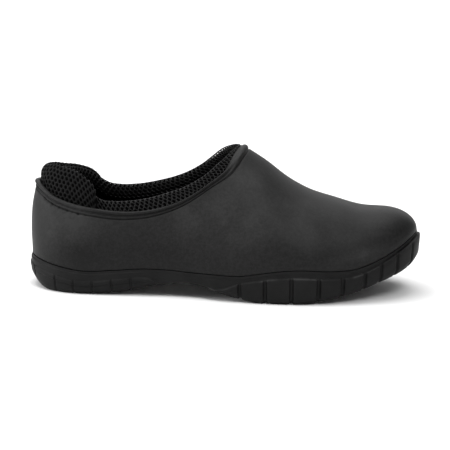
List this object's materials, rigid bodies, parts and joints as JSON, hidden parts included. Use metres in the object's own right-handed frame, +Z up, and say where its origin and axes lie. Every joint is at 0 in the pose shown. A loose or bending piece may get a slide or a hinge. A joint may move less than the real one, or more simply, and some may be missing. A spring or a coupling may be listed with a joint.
{
  "type": "moulded slip-on clog",
  "caption": "Moulded slip-on work clog with a closed heel, a rolled collar bead, mesh collar lining, padded mesh heel tab and a lugged sole with hexagon tread",
  "frame": {"origin": "centre of the shoe's box on the floor", "axes": "+X to the toe, +Y to the inner side of the right foot, +Z up"},
  "size_m": [0.29, 0.114, 0.1082],
  "materials": {
    "moulded_upper": "satin moulded foam with a faint mottle",
    "moulded_sole": "matte moulded",
    "spacer_mesh": "open knitted mesh",
    "padded_mesh": "open knitted mesh over padding",
    "insole_foam": "matte"
  },
  "bodies": {
    "root": {"outsole": "moulded_sole", "upper": "moulded_upper", "collar_lining": "spacer_mesh", "heel_pad": "padded_mesh", "insole": "insole_foam"}
  },
  "joints": []
}
